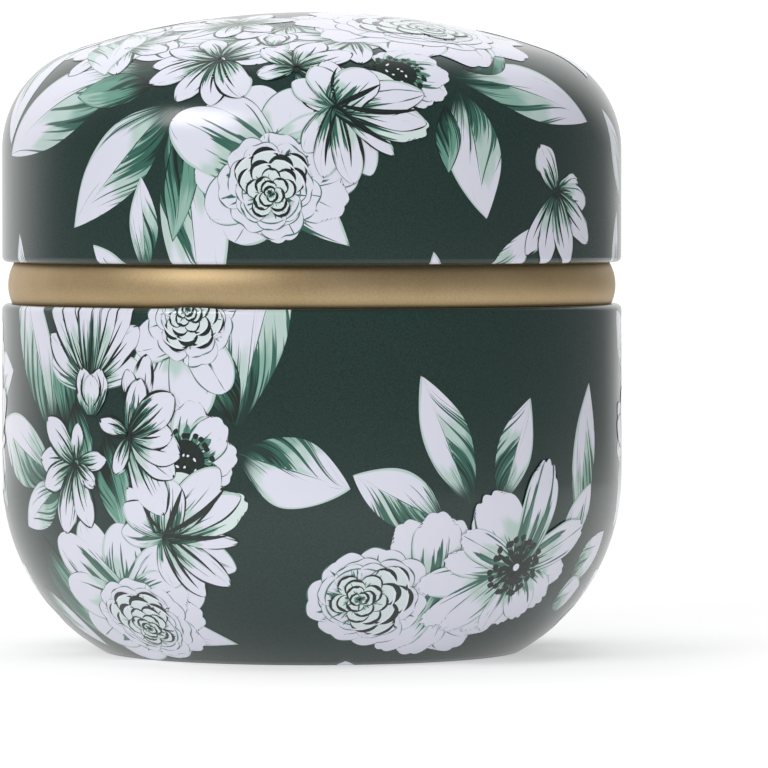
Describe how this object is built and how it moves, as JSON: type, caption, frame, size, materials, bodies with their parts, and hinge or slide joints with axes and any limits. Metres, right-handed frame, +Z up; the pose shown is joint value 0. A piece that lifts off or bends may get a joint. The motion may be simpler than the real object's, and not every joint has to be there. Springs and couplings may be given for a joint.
{
  "type": "tea caddy",
  "caption": "Round drawn tinplate tea caddy with a domed slip lid, a gold neck ring, an inner plug lid with a knob, and printed flowers.",
  "frame": {"origin": "centre of the foot, on the surface that the tin stands on", "axes": "+Z up the tin's axis, -Y towards the front of the printed design, +X to its right"},
  "size_m": [0.085, 0.085, 0.0876],
  "materials": {
    "printed_tinplate": "satin varnish over a dark green print",
    "gold_lacquer": "satin gold lacquer on tinplate",
    "silicone": "matt",
    "knob_aluminium": "polished",
    "zinc_steel": "zinc plated"
  },
  "bodies": {
    "body": {"body_shell": "printed_tinplate", "neck_ring": "gold_lacquer"},
    "inner_lid": {"inner_lid": "gold_lacquer", "inner_lid_seal": "silicone", "inner_lid_knob": "knob_aluminium", "knob_washer": "zinc_steel", "knob_screw": "zinc_steel"},
    "lid": {"lid_shell": "printed_tinplate"}
  },
  "joints": [
    {"name": "inner_lid_lift", "type": "slide", "parent": "body", "child": "inner_lid", "axis": [0, 0, 1], "range_m": [0, 0.04]},
    {"name": "lid_lift", "type": "slide", "parent": "inner_lid", "child": "lid", "axis": [0, 0, 1], "range_m": [0, 0.04]}
  ]
}
